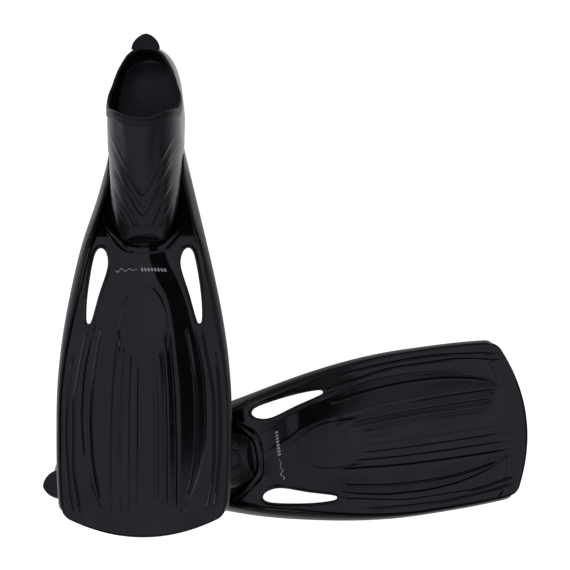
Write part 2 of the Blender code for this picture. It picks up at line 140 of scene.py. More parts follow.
# Lines that run down the blade, as half-widths at stations along it: the edge of the flat
# middle, the outer crease of the channel, and two thin ribs on the land beside the rail.
FLAT_EDGE = ((-40.0, 3.0), (8.0, 4.0), (40.0, 14.0), (62.0, 26.0), (93.0, 33.0), (130.0, 37.0),
             (200.0, 42.5), (280.0, 44.0), (333.0, 43.0))
CREASE = ((-40.0, 27.0), (0.0, 26.0), (46.0, 44.0), (94.0, 61.0), (130.0, 70.5), (168.0, 76.5),
          (212.0, 78.5), (250.0, 76.0), (280.0, 68.5), (298.0, 60.5), (308.0, 53.5),
          (313.5, 47.5), (316.0, 45.2), (333.0, 44.8))
LAND_RIB = ((-40.0, 40.0), (0.0, 52.0), (46.0, 58.0), (94.0, 69.5), (130.0, 77.5),
            (200.0, 87.5), (265.0, 87.5), (333.0, 76.0))
EDGE_RIB = ((-40.0, 49.0), (0.0, 60.0), (46.0, 72.0), (94.0, 82.0), (165.0, 93.0),
            (230.0, 96.0), (300.0, 91.0), (333.0, 84.0))
# Each flute's place between the middle line and the edge of the flat, where it starts, and depth.
FLUTES = ((0.15, 131.0, 0.6), (0.39, 124.0, 0.85), (0.64, 114.0, 1.0), (0.90, 98.0, 1.2))
FLUTE_END, FLUTE_FADE_OUT = 290.0, 36.0
RIB_SHARE = 0.64           # the channel's thin rib, between the flat middle and the crease
RIB_HALF_WIDTH = 2.0
CHANNEL_DEPTH = 5.2
CHANNEL_SLOPE = 0.155
PANEL_RISE = 1.9
WINDOW = ((55.0, -1.0), (48.0, 6.0), (46.5, 24.0), (57.0, 58.0), (66.0, 90.0), (69.5, 95.0),
          (72.5, 90.0), (72.0, 66.0), (68.0, 34.0), (62.0, 6.0))
COLLAR = ((57.0, -43.0), (52.0, -36.0), (44.0, -25.0), (35.0, -13.0), (26.0, -3.0), (14.0, 1.6),
          (0.0, 3.0))


def round_curve(corners, closed, pieces=10):
    """Points on a smooth curve through given corners."""
    p = np.array(corners, float)
    count = len(p)
    points = []
    for i in range(count if closed else count - 1):
        if closed:
            a, b, c, d = (p[(i + k) % count] for k in (-1, 0, 1, 2))
        else:
            a, b, c, d = (p[min(max(i + k, 0), count - 1)] for k in (-1, 0, 1, 2))
        for t in np.arange(pieces) / pieces:
            points.append(0.5 * (2 * b + (c - a) * t + (2 * a - 5 * b + 4 * c - d) * t ** 2
                                 + (3 * b - a - 3 * c + d) * t ** 3))
    if not closed:
        points.append(p[-1])
    return np.array(points)


def distance_to(line, u, v, closed):
    """Distance from points of the blade to a line of points, and the nearest points on it."""
    ends = np.roll(line, -1, axis=0) if closed else line[1:]
    starts = line if closed else line[:-1]
    best = np.full(u.shape, 1e9)
    near_u, near_v = np.zeros(u.shape), np.zeros(u.shape)
    for (u0, v0), (u1, v1) in zip(starts, ends):
        length = (u1 - u0) ** 2 + (v1 - v0) ** 2
        t = np.clip(((u - u0) * (u1 - u0) + (v - v0) * (v1 - v0)) / length, 0.0, 1.0)
        pu, pv = u0 + t * (u1 - u0), v0 + t * (v1 - v0)
        far = np.hypot(u - pu, v - pv)
        closer = far < best
        best = np.where(closer, far, best)
        near_u, near_v = np.where(closer, pu, near_u), np.where(closer, pv, near_v)
    return best, near_u, near_v


def inside(line, u, v):
    """Whether points of the blade lie within a closed line."""
    found = np.zeros(u.shape, bool)
    for (u0, v0), (u1, v1) in zip(line, np.roll(line, -1, axis=0)):
        crosses = (v0 > v) != (v1 > v)
        at = u0 + (v - v0) * (u1 - u0) / (v1 - v0 if v1 != v0 else 1e-9)
        found ^= crosses & (u < at)
    return found


def ridge(distance, half_width):
    """A rounded bump across a line, 1 on it and 0 a half-width away."""
    return np.cos(math.pi / 2 * np.clip(np.abs(distance) / half_width, 0.0, 1.0)) ** 2


window_line = round_curve(WINDOW, closed=True)
collar_line = round_curve(COLLAR, closed=False)


def shown(q, start, fade_in, end, fade_out):
    """1 between two stations, with soft ends."""
    return step((q - start) / fade_in) * (1.0 - step((q - end) / fade_out))


def blade_relief(u, v, q):
    """How far the moulded surface stands above the plain sheet. q is the row's own station."""
    u = np.abs(u)
    flat, crease = through(FLAT_EDGE, q), through(CREASE, q)
    land, edge = through(LAND_RIB, q), through(EDGE_RIB, q)
    started = step((q + 30.0) / 30.0)
    across = np.clip((u - flat) / np.maximum(crease - flat, 1.0), 0.0, 1.0)
    # The middle is flat. The channel beside it slopes down and outwards to a short steep wall.
    wide = crease - flat
    deep = np.minimum(CHANNEL_DEPTH, CHANNEL_SLOPE * wide) * started * step((wide - 2.0) / 5.0)
    soft = np.where(across < 0.16, across ** 2 / 0.32, across - 0.08) / 0.92
    height = PANEL_RISE * started - deep * soft
    wall = step((q - 62.0) / 88.0)
    outside = step((u - crease) / 2.4 + 0.85)
    height += outside * 0.42 * deep * wall
    # A low arch-shaped spoon stands on the flat middle above the flutes.
    arch = 1.0 - np.hypot(u / 31.5, np.minimum(v - 104.0, 0.0) / 58.0)
    height += 0.6 * step(arch * 14.0) * (1.0 - step((v - 112.0) / 34.0))
    for share, start, cut in FLUTES:
        depth = shown(q, start, 22.0, FLUTE_END, FLUTE_FADE_OUT)
        near = u - share * flat
        inner_side = np.clip(1.0 + near / (0.22 * flat), 0.0, 1.0)
        outer_side = 1.0 - step(near / 3.2)
        height -= cut * depth * np.where(near < 0.0, inner_side, outer_side)
    rib = flat + RIB_SHARE * wide
    for line, tall, start, fade_in, end, fade_out in ((rib, 1.3, 100.0, 14.0, 290.0, 12.0),
                                                      (land, 0.9, 96.0, 24.0, 308.0, 24.0),
                                                      (edge, 0.8, 120.0, 40.0, 308.0, 24.0)):
        height += tall * ridge(u - line, RIB_HALF_WIDTH) * shown(q, start, fade_in, end, fade_out)
    # A bead runs round each window, and a tall collar round the toe.
    near_root = (v > -62.0) & (v < 110.0)
    far, _, _ = distance_to(window_line, u[near_root], v[near_root], closed=True)
    height[near_root] += 0.7 * ridge(far - 1.8, 2.0)
    far, _, _ = distance_to(collar_line, u[near_root], v[near_root], closed=False)
    tall = 1.4 + 2.6 * step((u[near_root] - 17.0) / 12.0)
    height[near_root] += tall * step((5.4 - far) / 2.6)
    return height


def spread(lines, edge):
    """Half of each row's columns: fine beside every line, and even between the lines."""
    offsets = np.array((0.22, 0.45, 0.7, 1.0))
    columns = [np.zeros(len(edge))]
    ends = lines + [edge]
    for i, line in enumerate(lines):
        before = line - (lines[i - 1] if i else 0.0)
        after = ends[i + 1] - line
        left, right = np.minimum(2.7, before / 2.6), np.minimum(2.7, after / 2.6)
        start = columns[-1]
        between = 2 if i < 5 else 9
        for k in range(1, between + 1):
            columns.append(start + (line - left - start) * k / (between + 1))
        columns += [line - left * o for o in offsets[::-1]]
        columns.append(line)
        columns += [line + right * o for o in offsets]
    start = columns[-1]
    columns += [start + (edge - start) * k / 6 for k in range(1, 7)]
    return np.array(columns).T


def grid_faces(rows, columns):
    """The faces of a grid of points, as rows of four corners."""
    a = (np.arange(rows - 1)[:, None] * columns + np.arange(columns - 1)).ravel()
    return np.stack((a, a + 1, a + 1 + columns, a + columns), axis=1)


def mesh_of(name, points, faces):
    """A mesh in metres from points in millimetres and lists of the corners of faces."""
    mesh = bpy.data.meshes.new(name)
    mesh.from_pydata((np.asarray(points) * 0.001).tolist(), [], [list(face) for face in faces])
    mesh.update()
    return mesh


def thicken(points, faces, drop):
    """Closes an open surface into a solid, with its second side at points + drop."""
    count = len(points)
    edges = {}
    for face in faces:
        for a, b in zip(face, np.roll(face, -1)):
            edges[(a, b)] = True
    rim = [(a, b) for a, b in edges if (b, a) not in edges]
    walls = np.array([(b, a, a + count, b + count) for a, b in rim])
    under = faces[:, ::-1] + count
    return np.vstack((points, points + drop)), np.vstack((faces, under, walls))


# The sheet is a grid of rows across the blade, closer together where the shape needs it. Rows
# past the root reach under the rails, and the shank is narrower than the foot pocket.
UNDER_RAIL = 1.5
SHANK_END_V = -115.0
SHANK_SHARE = 0.68
SPREAD_V = -40.0           # behind here all the lines squeeze together with the edge
CORNER_START_U, CORNER_WIDTH, CORNER_CUT = 92.0, 9.0, 4.5
rows_q = np.concatenate((np.arange(-253.0, -116.0, 6.0), np.arange(-113.0, -42.0, 3.5),
                         np.arange(-40.0, 104.0, 1.05), np.arange(104.0, 286.0, 2.4),
                         np.arange(286.0, 332.0, 1.4), [CORNER_V]))
edge_u = rail_inner(rows_q) + UNDER_RAIL
shank = rows_q < SHANK_END_V
edge_u[shank] = through(POCKET_HALF_WIDTH, station_y(rows_q[shank])) * SHANK_SHARE
spread_edge = rail_inner(SPREAD_V) + UNDER_RAIL
squeeze = np.where(rows_q > SPREAD_V, 1.0, edge_u / spread_edge)
flat_u = through(FLAT_EDGE, rows_q)
crease_u = through(CREASE, rows_q)
line_u = [flat_u * share for share, _, _ in FLUTES]
line_u += [flat_u, flat_u + RIB_SHARE * (crease_u - flat_u), crease_u,
           through(LAND_RIB, rows_q), through(EDGE_RIB, rows_q)]
half_u = spread([line * squeeze for line in line_u], edge_u)
blade_u = np.hstack((-half_u[:, :0:-1], half_u))
blade_q = np.repeat(rows_q[:, None], blade_u.shape[1], axis=1)
tip_v = BLADE_LENGTH - (BLADE_LENGTH - CORNER_V) * (blade_u / CORNER_HALF_WIDTH) ** 2
beyond = np.clip((np.abs(blade_u) - CORNER_START_U) / CORNER_WIDTH, 0.0, 1.2)
tip_v -= CORNER_CUT * beyond ** 2.2
bend_share = (blade_q - STRAIGHT_END_V) / (CORNER_V - STRAIGHT_END_V)
bent = STRAIGHT_END_V + bend_share * (tip_v - STRAIGHT_END_V)
blade_v = np.where(blade_q > STRAIGHT_END_V, bent, blade_q)

faces = grid_faces(*blade_u.shape)
u, v = blade_u.ravel(), blade_v.ravel()
middle_u, middle_v = np.abs(u[faces].mean(axis=1)), v[faces].mean(axis=1)
faces = faces[~inside(window_line, middle_u, middle_v)]
# Where the windows have cut faces away, the torn edge is pulled onto the window's outline.
count_around = np.bincount(faces.ravel(), minlength=len(u))
on_border = np.zeros(blade_u.shape, bool)
on_border[0], on_border[-1], on_border[:, 0], on_border[:, -1] = True, True, True, True
torn = (count_around > 0) & (count_around < 4) & ~on_border.ravel()
_, near_u, near_v = distance_to(window_line, np.abs(u[torn]), v[torn], closed=True)
u[torn], v[torn] = near_u * np.sign(u[torn]), near_v

blade_y = station_y(v)
raised = blade_relief(u, v, blade_q.ravel())
top_side = np.stack((u, blade_y, keel(blade_y) + SHEET / 2 + raised), axis=1)
used = np.unique(faces)
renumber = np.zeros(len(u), int)
renumber[used] = np.arange(len(used))
points, faces = thicken(top_side[used], renumber[faces], np.array((0.0, 0.0, -SHEET)))
blade_mesh = mesh_of("blade", points, faces)


def linear(hex_colour):
    """An sRGB hex colour as the linear red, green, blue and alpha that shaders take."""
    parts = [int(hex_colour[i:i + 2], 16) / 255.0 for i in (1, 3, 5)]
    return [p / 12.92 if p <= 0.04045 else ((p + 0.055) / 1.055) ** 2.4 for p in parts] + [1.0]


def node(tree, kind, settings=None, inputs=None):
    """Adds one shader node, with its settings, and its inputs as values or as links."""
    added = tree.nodes.new(kind)
    for name, value in (settings or {}).items():
        setattr(added, name, value)
    for name, value in (inputs or {}).items():
        if isinstance(value, bpy.types.NodeSocket):
            tree.links.new(value, added.inputs[name])
        else:
            added.inputs[name].default_value = value
    return added


def start_material(name):
    """An empty material, and coordinates in metres that stay with the piece."""
    material = bpy.data.materials.new(name)
    material.use_nodes = True
    material.node_tree.nodes.clear()
    tree = material.node_tree
    place = node(tree, "ShaderNodeAttribute", {"attribute_name": "place_in_fin"}).outputs["Vector"]
    return material, tree, place


def finish_material(tree, shader):
    """Sends the shader to the material's output."""
    node(tree, "ShaderNodeOutputMaterial", inputs={"Surface": shader.outputs["BSDF"]})


def moulded_polypropylene():
    """Black polypropylene from a polished mould: a clear gloss, long faint flow marks, and
    handling scratches that soften the reflections a little."""
    material, tree, place = start_material("polished_polypropylene")
    long = node(tree, "ShaderNodeMapping", inputs={
        "Vector": place, "Scale": (1.0, 0.12, 1.0)})
    flow = node(tree, "ShaderNodeTexNoise", inputs={
        "Vector": long.outputs["Vector"], "Scale": 160.0, "Detail": 3.0})
    cloud = node(tree, "ShaderNodeTexNoise", inputs={"Vector": place, "Scale": 25.0, "Detail": 4.0})
    fine = node(tree, "ShaderNodeTexNoise", inputs={"Vector": place, "Scale": 900.0, "Detail": 4.0})
    wear = node(tree, "ShaderNodeMath", {"operation": "MULTIPLY"},
                {0: cloud.outputs["Fac"], 1: fine.outputs["Fac"]})
    rough = node(tree, "ShaderNodeMapRange", inputs={
        "Value": wear.outputs[0], "From Min": 0.12, "From Max": 0.40, "To Min": 0.08,
        "To Max": 0.17})
    tint = node(tree, "ShaderNodeValToRGB", inputs={"Fac": flow.outputs["Fac"]})
    tint.color_ramp.elements[0].color = linear("#060607")
    tint.color_ramp.elements[1].color = linear("#0e0e11")
    relief = node(tree, "ShaderNodeMath", {"operation": "ADD"},
                  {0: cloud.outputs["Fac"], 1: flow.outputs["Fac"]})
    bump = node(tree, "ShaderNodeBump", inputs={
        "Strength": 0.10, "Distance": 0.0006, "Height": relief.outputs[0]})
    shader = node(tree, "ShaderNodeBsdfPrincipled", inputs={
        "Base Color": tint.outputs["Color"], "Roughness": rough.outputs["Result"],
        "IOR": 1.49, "Normal": bump.outputs["Normal"]})
    finish_material(tree, shader)
    return material


# The lower fin rests on its heel and the tip of its blade. The upper one rests on its heel and,
# halfway along its blade, on the instep of the lower one. Each row holds the short name, the
# body, the place of the heel in metres, and the heading and pitch in degrees.
PLACES = (("under", "under_fin", (-0.2915, -0.2589, 0.0005), 7.65, 5.12),
          ("top", "top_fin", (-0.1852, 0.2842, 0.0013), -89.75, 14.75))


def lie(heel, heading, pitch):
    """How a fin's own frame lies in the pair."""
    turn = Matrix.Rotation(math.radians(heading - 90.0), 4, "Z")
    tilt = Matrix.Rotation(math.radians(pitch), 4, "X")
    return Matrix.Translation(heel) @ turn @ tilt


def on_both_fins(piece, mesh, node, materials):
    """Puts one moulding on both fins. It stands for a CAD node of each, if one is named.
    Every point keeps its place in the fin's own frame for the materials to read."""
    for material in materials:
        mesh.materials.append(material)
    for face in mesh.polygons:
        face.use_smooth = len(face.vertices) <= 4
    places = np.zeros(len(mesh.vertices) * 3)
    mesh.vertices.foreach_get("co", places)
    mesh.attributes.new("place_in_fin", "FLOAT_VECTOR", "POINT").data.foreach_set("vector", places)
    for short, body, heel, heading, pitch in PLACES:
        moulding = mesh.copy()
        moulding.transform(lie(heel, heading, pitch))
        thing = bpy.data.objects.new(f"{short}_{piece}", moulding)
        bpy.context.scene.collection.objects.link(thing)
        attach(thing, body)
        if node:
            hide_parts(f"{body}_{node}")


on_both_fins("blade", blade_mesh, "blade", [moulded_polypropylene()])


# ---- printed marks --------------------------------------------------------------------------
# A light grey pad-printed band across the root of the blade, as such fins carry: a plain wave
# and a row of slanted bars. The ink lies a tenth of a millimetre proud of the plastic.
MARK_V = 28.0
INK = 0.12                 # how far the ink stands proud
INK_DEPTH = 0.3
BAR_COUNT = 8
BAR_PITCH = 4.1
BAR_WIDTH = 2.6
BAR_HALF_HEIGHT = 2.1
BAR_SLANT = 1.2
mark_strips = []
wave_u = np.linspace(-36.0, -8.0, 57)
wave_v = MARK_V + 1.9 * np.sin((wave_u + 36.0) * 0.62) * np.linspace(1.3, 0.25, 57)
ink_half = np.linspace(0.75, 0.30, 57)
mark_strips.append((wave_u, wave_v - ink_half, wave_u, wave_v + ink_half))
for k in range(BAR_COUNT):
    bar_u = -4.0 + BAR_PITCH * k + np.linspace(0.0, BAR_WIDTH, 4)
    mark_strips.append((bar_u, np.full(4, MARK_V - BAR_HALF_HEIGHT),
                        bar_u + BAR_SLANT, np.full(4, MARK_V + BAR_HALF_HEIGHT)))
mark_points, mark_faces = [], []
for low_u, low_v, high_u, high_v in mark_strips:
    strip_u, strip_v = -np.stack((low_u, high_u)), np.stack((low_v, high_v))
    strip_y = station_y(strip_v)
    stand = blade_relief(strip_u, strip_v, strip_v)
    over = np.stack((strip_u, strip_y, keel(strip_y) + SHEET / 2 + stand + INK), axis=2)
    strip, quads = thicken(over.reshape(-1, 3), grid_faces(2, len(low_u)),
                           np.array((0.0, 0.0, -INK_DEPTH)))
    mark_faces += (quads + sum(len(p) for p in mark_points)).tolist()
    mark_points.append(strip)
mark_mesh = mesh_of("mark", np.vstack(mark_points), mark_faces)


def printed_ink():
    """Light grey ink, matt, and a little thin where the pad left less of it."""
    material, tree, place = start_material("pad_printed_ink")
    worn = node(tree, "ShaderNodeTexNoise", inputs={"Vector": place, "Scale": 1200.0, "Detail": 2.0})
    tint = node(tree, "ShaderNodeValToRGB", inputs={"Fac": worn.outputs["Fac"]})
    tint.color_ramp.elements[0].position = 0.30
    tint.color_ramp.elements[0].color = linear("#b8b8bc")
    tint.color_ramp.elements[1].position = 0.55
    tint.color_ramp.elements[1].color = linear("#f6f6f8")
    shader = node(tree, "ShaderNodeBsdfPrincipled", inputs={
        "Base Color": tint.outputs["Color"], "Roughness": 0.55})
    finish_material(tree, shader)
    return material


on_both_fins("mark", mark_mesh, None, [printed_ink()])


# ---- side rails -----------------------------------------------------------------------------
# A satin thermoplastic rubber moulded round each edge of the blade. It is tall and narrow beside
# the foot, where it stiffens the fin, and thins to a low bead at the tip.
# Its rear end tapers and sinks into the side of the foot pocket.
RAIL_START_V = -127.0
RAIL_RISE, RAIL_RISE_AT_FOOT, RAIL_RISE_FADE = 4.5, 19.0, 110.0
SINK_V, SINK_LENGTH = -118.0, 26.0
TIP_TURN_V, TIP_TURN_LENGTH, TIP_TURN = 318.0, 13.5, 4.6
RAIL_SECTION = ((0.0, 0.14), (0.0, 0.60), (0.01, 0.86), (0.07, 0.96), (0.17, 1.0), (0.28, 0.99),
                (0.42, 0.92), (0.60, 0.78), (0.78, 0.60), (0.92, 0.42), (0.99, 0.30),
                (1.0, 0.20), (0.97, 0.09), (0.88, 0.02), (0.60, 0.0), (0.25, 0.01), (0.05, 0.05))
RAIL_END_V = 331.5
rail_stations = np.concatenate((np.arange(-144.0, 312.0, 3.0), np.arange(312.0, 331.0, 1.0),
                                [331.2, RAIL_END_V]))
rail_rings = []
for at in rail_stations:
    y = float(station_y(at))
    sunk = float(step((SINK_V - at) / SINK_LENGTH))
    inner = float(rail_inner(at)) - (1.2 + 1.4 * sunk if at < TOE_V else 0.0)
    outer = max(float(outline(at)), inner + 0.9)
    turn_in = TIP_TURN * max(0.0, (at - TIP_TURN_V) / TIP_TURN_LENGTH) ** 2.2
    inner, outer = inner - 0.45 * turn_in, outer - turn_in
    close = float(np.clip((RAIL_END_V + 0.6 - at) / 7.0, 0.0, 1.0)) ** 0.5
    up = RAIL_RISE + RAIL_RISE_AT_FOOT * math.exp(-max(at - RAIL_START_V, 0.0) / RAIL_RISE_FADE)
    down = 1.2 + 3.6 * float(step((at - RAIL_START_V) / 150.0)) - 1.4 * float(step(at / 330.0))
    thinning = 0.35 + 0.65 * close
    high = float(keel(y)) + up * (1.0 - 0.5 * sunk) * thinning
    low = float(keel(y)) - down * thinning + 9.0 * sunk
    width = (outer - inner) * (0.4 + 0.6 * close)
    rail_rings.append([(inner + width * a, y, low + (high - low) * b) for a, b in RAIL_SECTION])
rail_points = np.array(rail_rings)


def tube(name, rings):
    """A closed skin round rows of equal rings, with flat caps."""
    rows, around = rings.shape[:2]
    index = np.arange(rows * around).reshape(rows, around)
    following = np.roll(index, -1, axis=1)
    sides = np.stack((index[:-1], following[:-1], following[1:], index[1:]), axis=2)
    faces = sides.reshape(-1, 4).tolist() + [index[0, ::-1].tolist(), index[-1].tolist()]
    return mesh_of(name, rings.reshape(-1, 3), faces)


def face_outwards(mesh, weld=None):
    """Turns every face of a closed mesh to the outside. Points closer than the weld distance,
    in metres, are joined first."""
    shape = bmesh.new()
    shape.from_mesh(mesh)
    if weld:
        bmesh.ops.remove_doubles(shape, verts=shape.verts, dist=weld)
    bmesh.ops.recalc_face_normals(shape, faces=shape.faces)
    shape.to_mesh(mesh)
    shape.free()
    return mesh


def satin_rubber(name, dark, light, roughness, grain_mm, strength):
    """Moulded thermoplastic rubber: black, with a soft sheen, a fine grain from the mould and
    a slight grey bloom where it has been handled."""
    material, tree, place = start_material(name)
    grain = node(tree, "ShaderNodeTexNoise", inputs={
        "Vector": place, "Scale": 1000.0 / grain_mm, "Detail": 3.0})
    bloom = node(tree, "ShaderNodeTexNoise", inputs={"Vector": place, "Scale": 30.0, "Detail": 5.0})
    tint = node(tree, "ShaderNodeValToRGB", inputs={"Fac": bloom.outputs["Fac"]})
    tint.color_ramp.elements[0].position = 0.35
    tint.color_ramp.elements[0].color = linear(dark)
    tint.color_ramp.elements[1].position = 0.75
    tint.color_ramp.elements[1].color = linear(light)
    rough = node(tree, "ShaderNodeMapRange", inputs={
        "Value": bloom.outputs["Fac"], "From Min": 0.3, "From Max": 0.7,
        "To Min": roughness - 0.06, "To Max": roughness + 0.07})
    bump = node(tree, "ShaderNodeBump", inputs={
        "Strength": strength, "Distance": 0.0002, "Height": grain.outputs["Fac"]})
    shader = node(tree, "ShaderNodeBsdfPrincipled", inputs={
        "Base Color": tint.outputs["Color"], "Roughness": rough.outputs["Result"],
        "IOR": 1.5, "Normal": bump.outputs["Normal"]})
    finish_material(tree, shader)
    return material


rail_rubber = satin_rubber("satin_rail_rubber", "#0c0c0d", "#131315", 0.38, 0.8, 0.22)
right_rail = face_outwards(tube("rail_right", rail_points))
left_rail = face_outwards(tube("rail_left", rail_points * np.array((-1.0, 1.0, 1.0))))
on_both_fins("rail_right", right_rail, "rail_right", [rail_rubber])
on_both_fins("rail_left", left_rail, "rail_left", [rail_rubber])


# ---- foot pockets ---------------------------------------------------------------------------
# A closed-heel shoe of soft satin rubber, moulded over the shank. The instep carries nested V
# shaped steps that let it flex, and a slot under two arched lips at the toe drains the water.
INSTEP_HEIGHT = ((-13.5, 34.0), (-12.0, 41.0), (-8.5, 49.0), (0.0, 62.0), (12.0, 75.0),
                 (40.0, 84.0), (100.0, 90.0), (115.0, 87.0), (150.0, 77.0),
                 (190.0, 59.0), (225.0, 42.0), (246.0, 31.5))
ARCH_SQUARENESS = ((17.0, 1.8), (50.0, 2.45), (66.0, 3.4), (80.0, 3.6), (115.0, 2.9),
                   (150.0, 2.4), (246.0, 2.2))
RIM_LINE = ((-40.0, 61.0), (2.0, 60.0), (30.0, 57.0), (55.0, 57.0), (75.0, 61.0),
            (88.0, 69.0), (109.0, 86.0), (119.0, 96.0))
WALL = 2.6
FLAT_SHARE = 0.72
CORNER_Y = 88.0            # where the sides of the opening meet its front edge
THROAT_Y = 109.0
SLOT_HALF_WIDTH = 20.5
SLOT_Y, SLOT_Z = 244.5, 25.6
TOE_Y = 246.0              # the last row of the sides
TOE_TOP_Y = 237.5          # and where it meets the middle of the instep
FLOOR_GAP = 0.3
FLOOR_RISE = 7.0           # how far the floor rises at the back of the heel
FLOOR_CORNER = 14.0        # radius between the floor and the sides


def pocket_floor(y):
    """Height of the underside of the pocket along the foot."""
    return keel(y) + SHEET / 2 + FLOOR_GAP + FLOOR_RISE * step((-2.0 - y) / 12.0)


def arch_height(x, y, shift):
    """Height of the pocket's arch over a point, on a skin moved outwards by shift."""
    half = through(POCKET_HALF_WIDTH, y) + shift
    low, high = pocket_floor(y) - shift, through(INSTEP_HEIGHT, y) + shift
    corner = np.minimum(FLOOR_CORNER, 0.36 * (high - low))
    n = through(ARCH_SQUARENESS, y)
    share = np.clip(np.abs(x) / half, 0.0, 1.0)
    return low + corner + (high - low - corner) * (1.0 - share ** n) ** (1.0 / n)


def half_section(y, shift):
    """A dense half section, from under the middle of the foot over the side to the top."""
    half = float(through(POCKET_HALF_WIDTH, y)) + shift
    low = float(pocket_floor(y)) - shift
    high = float(through(INSTEP_HEIGHT, y)) + shift
    corner = min(FLOOR_CORNER, 0.36 * (high - low))
    n = float(through(ARCH_SQUARENESS, y))
    x = [np.linspace(0.0, FLAT_SHARE * half, 12)[:-1]]
    z = [np.full(11, low)]
    turn = np.linspace(0.0, math.pi / 2, 12)[:-1]
    x.append(half * (FLAT_SHARE + (1 - FLAT_SHARE) * np.sin(turn)))
    z.append(low + corner * (1 - np.cos(turn)))
    turn = np.linspace(0.0, 1.0, 90) ** 1.6 * math.pi / 2
    x.append(half * np.cos(turn) ** (2 / n))
    z.append(low + corner + (high - low - corner) * np.sin(turn) ** (2 / n))
    x, z = np.concatenate(x), np.concatenate(z)
    x[-1] = 0.0
    return x, z


def evenly(x, z, start, end, count):
    """Points evenly spaced along part of a section; start and end are shares of its length."""
    along = np.concatenate(([0.0], np.cumsum(np.hypot(np.diff(x), np.diff(z)))))
    at = np.linspace(start, end, count)
    return np.interp(at, along, x), np.interp(at, along, z)


def length_at_height(x, z, height):
    """How far along a section its arch first reaches a height, or its whole length."""
    along = np.concatenate(([0.0], np.cumsum(np.hypot(np.diff(x), np.diff(z)))))
    above = np.nonzero(z >= height)[0]
    if len(above) == 0:
        return along[-1]
    i = above[0]
    t = (height - z[i - 1]) / (z[i] - z[i - 1])
    return along[i - 1] + t * (along[i] - along[i - 1])


SIDE_COLUMNS = 62
TOP_COLUMNS = 54
TOP_ROWS = 112


def pocket_skin(shift):
    """One skin of the pocket as rows of points: the sides and sole, and the instep. The row
    at the throat has the front edge of the opening as its middle."""
    heel_y = POCKET_HALF_WIDTH[0][0] - shift
    rear = -1.0 - 0.8 * shift
    open_y = np.concatenate((np.linspace(heel_y, rear, 9)[:-1],
                             rear + 9.0 * np.linspace(0.0, 1.0, 13)[:-1] ** 2,
                             np.linspace(rear + 9.0, CORNER_Y, 40)))
    sides = []
    for y in open_y:
        x, z = half_section(y, shift)
        rim = length_at_height(x, z, float(through(RIM_LINE, y)))
        px, pz = evenly(x, z, 0.0, rim, SIDE_COLUMNS)
        sides.append(np.stack((px, np.full(SIDE_COLUMNS, y), pz), axis=1))
    low, high = float(pocket_floor(CORNER_Y)), float(through(INSTEP_HEIGHT, CORNER_Y))
    corner_share = (float(through(RIM_LINE, CORNER_Y)) - low) / (high - low)
    tops = []
    for i in range(TOP_ROWS):
        t = i / (TOP_ROWS - 1)
        y_side = CORNER_Y + (TOE_Y - CORNER_Y) * t
        y_top = THROAT_Y + (TOE_TOP_Y - THROAT_Y) * t ** 0.95
        x, z = half_section(y_side, shift)
        base, crown = float(pocket_floor(y_side)), float(through(INSTEP_HEIGHT, y_side))
        share = corner_share + (0.55 - corner_share) * t
        rim = length_at_height(x, z, base + share * (crown - base))
        if i:
            px, pz = evenly(x, z, 0.0, rim, SIDE_COLUMNS)
            sides.append(np.stack((px, np.full(SIDE_COLUMNS, y_side), pz), axis=1))
        edge_x = sides[-1][-1, 0]
        turn = np.linspace(0.0, 1.0, TOP_COLUMNS) * math.pi / 2
        x = edge_x * np.cos(turn)
        y = y_side + (y_top - y_side) * (1.0 - (x / edge_x) ** 2)
        z = arch_height(x, y, shift)
        z[0] = sides[-1][-1, 2]
        tops.append(np.stack((x, y, z), axis=1))
    # The toe closes onto the eye-shaped slot. Its lower lip is further forward than the upper.
    last = np.vstack((sides[-1], tops[-1][1:]))
    share = np.linspace(0.0, 1.0, len(last))
    eye_x = SLOT_HALF_WIDTH * np.sin(math.pi * share)
    open_by = np.cos(math.pi * share) * np.abs(np.cos(math.pi * share))
    eye = np.stack((eye_x, SLOT_Y + 2.6 * open_by, SLOT_Z - 4.0 * open_by), axis=1)
    upper = step((share - 0.5) / 0.3)[:, None]
    for t in np.linspace(0.0, 1.0, 17)[1:]:
        lips = (float(ridge(t - 0.42, 0.15)) + 0.9 * float(ridge(t - 0.9, 0.15))) * (shift == 0.0)
        out = 1.5 * math.sin(math.pi * t) + 1.1 * lips * upper
        ring = last + (eye - last) * t + out * np.array((0.0, 0.8, 0.6))
        sides.append(ring[:SIDE_COLUMNS])
        tops.append(ring[SIDE_COLUMNS - 1:])
    return np.array(sides), np.array(tops), len(open_y)


def skin_faces(sides, tops, open_rows):
    """Points and faces of a whole skin, both halves, and its rim and slot as loops."""
    flip = np.array((-1.0, 1.0, 1.0))
    band = np.concatenate((sides[:, :0:-1] * flip, sides), axis=1)
    crown = np.concatenate((tops[:, 1:], tops[:, -2:0:-1] * flip), axis=1)
    band_index = np.arange(band.shape[0] * band.shape[1]).reshape(band.shape[:2])
    crown_index = band_index.size + np.arange(crown.shape[0] * crown.shape[1])
    crown_index = crown_index.reshape(crown.shape[:2])
    first = open_rows - 1
    full = np.concatenate((band_index[first:, -1:], crown_index, band_index[first:, :1]), axis=1)
    faces = []
    for index in (band_index, full):
        quads = np.stack((index[:-1, :-1], index[:-1, 1:], index[1:, 1:], index[1:, :-1]), axis=2)
        faces.append(quads.reshape(-1, 4))
    points = np.vstack((band.reshape(-1, 3), crown.reshape(-1, 3)))
    rim = np.concatenate((band_index[:first, -1], full[0], band_index[:first, 0][::-1]))
    slot = np.concatenate((band_index[-1], full[-1][1:-1]))
    return points, np.vstack(faces), rim, slot, band_index[0]


outer, outer_faces, rim, slot, heel_ring = skin_faces(*pocket_skin(0.0))
inner, inner_faces, inner_rim, inner_slot, inner_heel = skin_faces(*pocket_skin(-WALL))
base = len(outer)


def bridge(a, b):
    """Faces that join two loops of equal length."""
    return np.stack((a, b, np.roll(b, -1), np.roll(a, -1)), axis=1)


